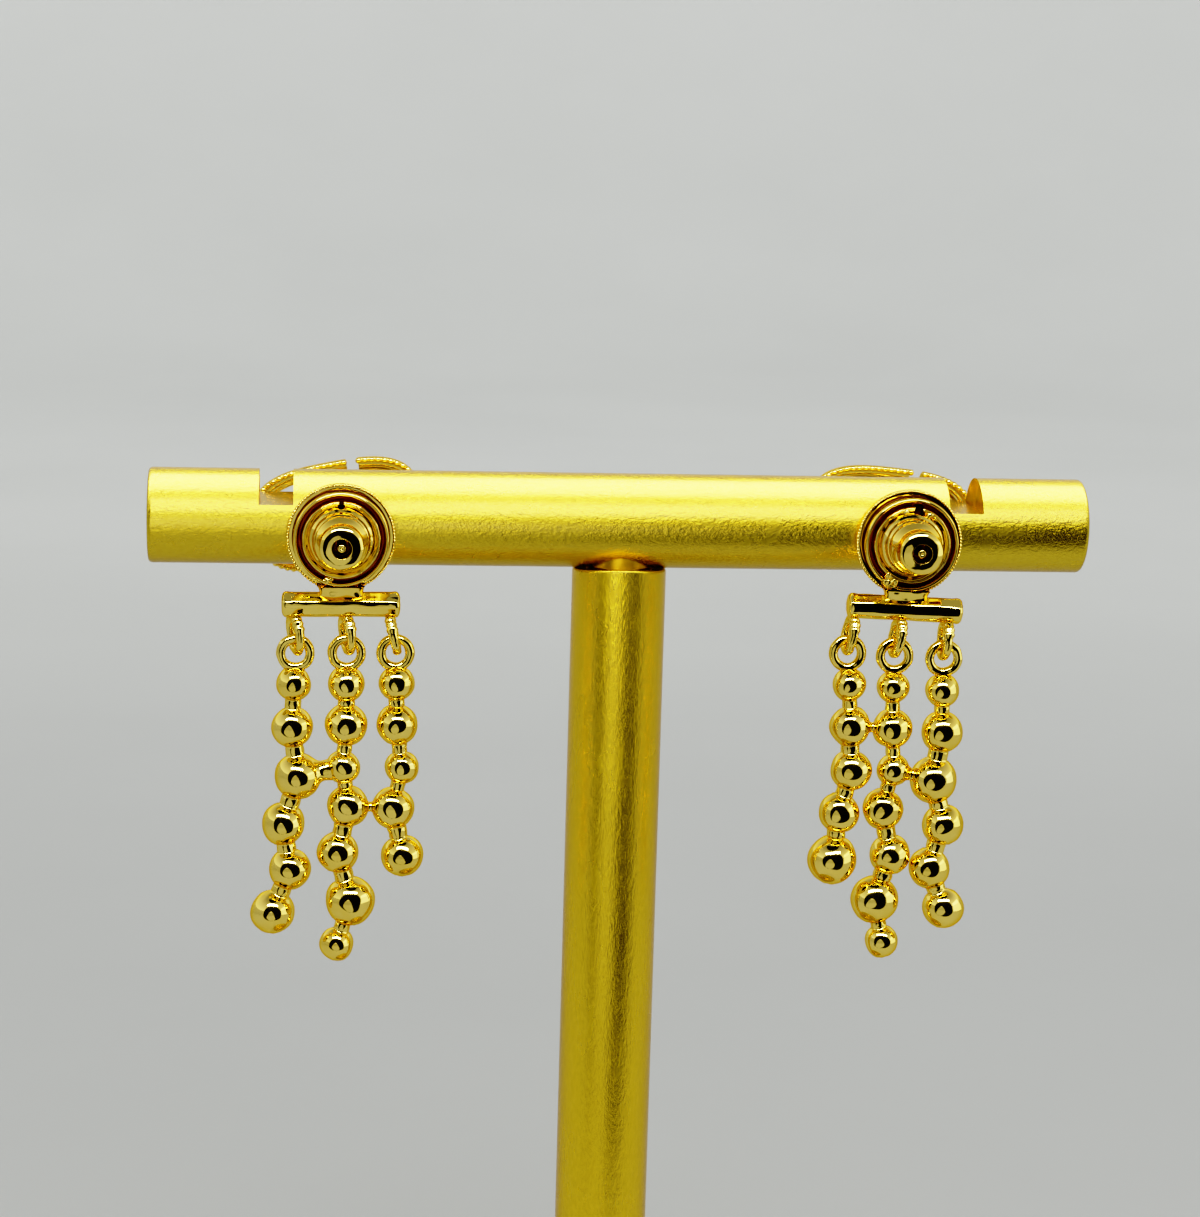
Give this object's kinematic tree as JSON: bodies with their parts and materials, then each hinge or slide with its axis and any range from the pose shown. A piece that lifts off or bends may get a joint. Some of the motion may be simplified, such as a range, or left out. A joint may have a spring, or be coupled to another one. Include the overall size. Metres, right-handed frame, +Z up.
{
  "type": "pair of chandelier earrings on a t-bar display stand",
  "caption": "Pair of gold chandelier earrings with hanging strands of balls, worn side turned away, on a round-based T-bar display stand.",
  "frame": {"origin": "on the surface the stand rests on, under the middle of its base and on the post's axis", "axes": "+Z up along the post, X along the bar, +Y from the backs of the earrings towards their front ornaments"},
  "size_m": [0.0942, 0.06, 0.1153],
  "materials": {
    "stand_base": "satin gold, fine brushed grain",
    "stand_post": "satin gold, fine brushed grain",
    "stand_bar": "satin gold, fine brushed grain",
    "left_stud": "mirror-polished yellow gold",
    "left_drum": "mirror-polished yellow gold",
    "left_nut": "mirror-polished yellow gold",
    "right_stud": "mirror-polished yellow gold",
    "right_drum": "mirror-polished yellow gold",
    "right_nut": "mirror-polished yellow gold",
    "left_drop": "mirror-polished yellow gold",
    "right_drop": "mirror-polished yellow gold"
  },
  "bodies": {
    "stand_and_fixed_parts": {"stand_base": "stand_base", "stand_post": "stand_post", "stand_bar": "stand_bar", "left_stud": "left_stud", "left_drum": "left_drum", "left_nut": "left_nut", "right_stud": "right_stud", "right_drum": "right_drum", "right_nut": "right_nut"},
    "left_drop_body": {"left_drop": "left_drop"},
    "right_drop_body": {"right_drop": "right_drop"}
  },
  "joints": [
    {"name": "left_drop_swing", "type": "hinge", "parent": "stand_and_fixed_parts", "child": "left_drop_body", "pos_m": [-0.02743, -0.0064, 0.09889], "axis": [1, 0, 0], "range_deg": [-60, 60]},
    {"name": "right_drop_swing", "type": "hinge", "parent": "stand_and_fixed_parts", "child": "right_drop_body", "pos_m": [0.02738, -0.0064, 0.09908], "axis": [1, 0, 0], "range_deg": [-60, 60]}
  ]
}
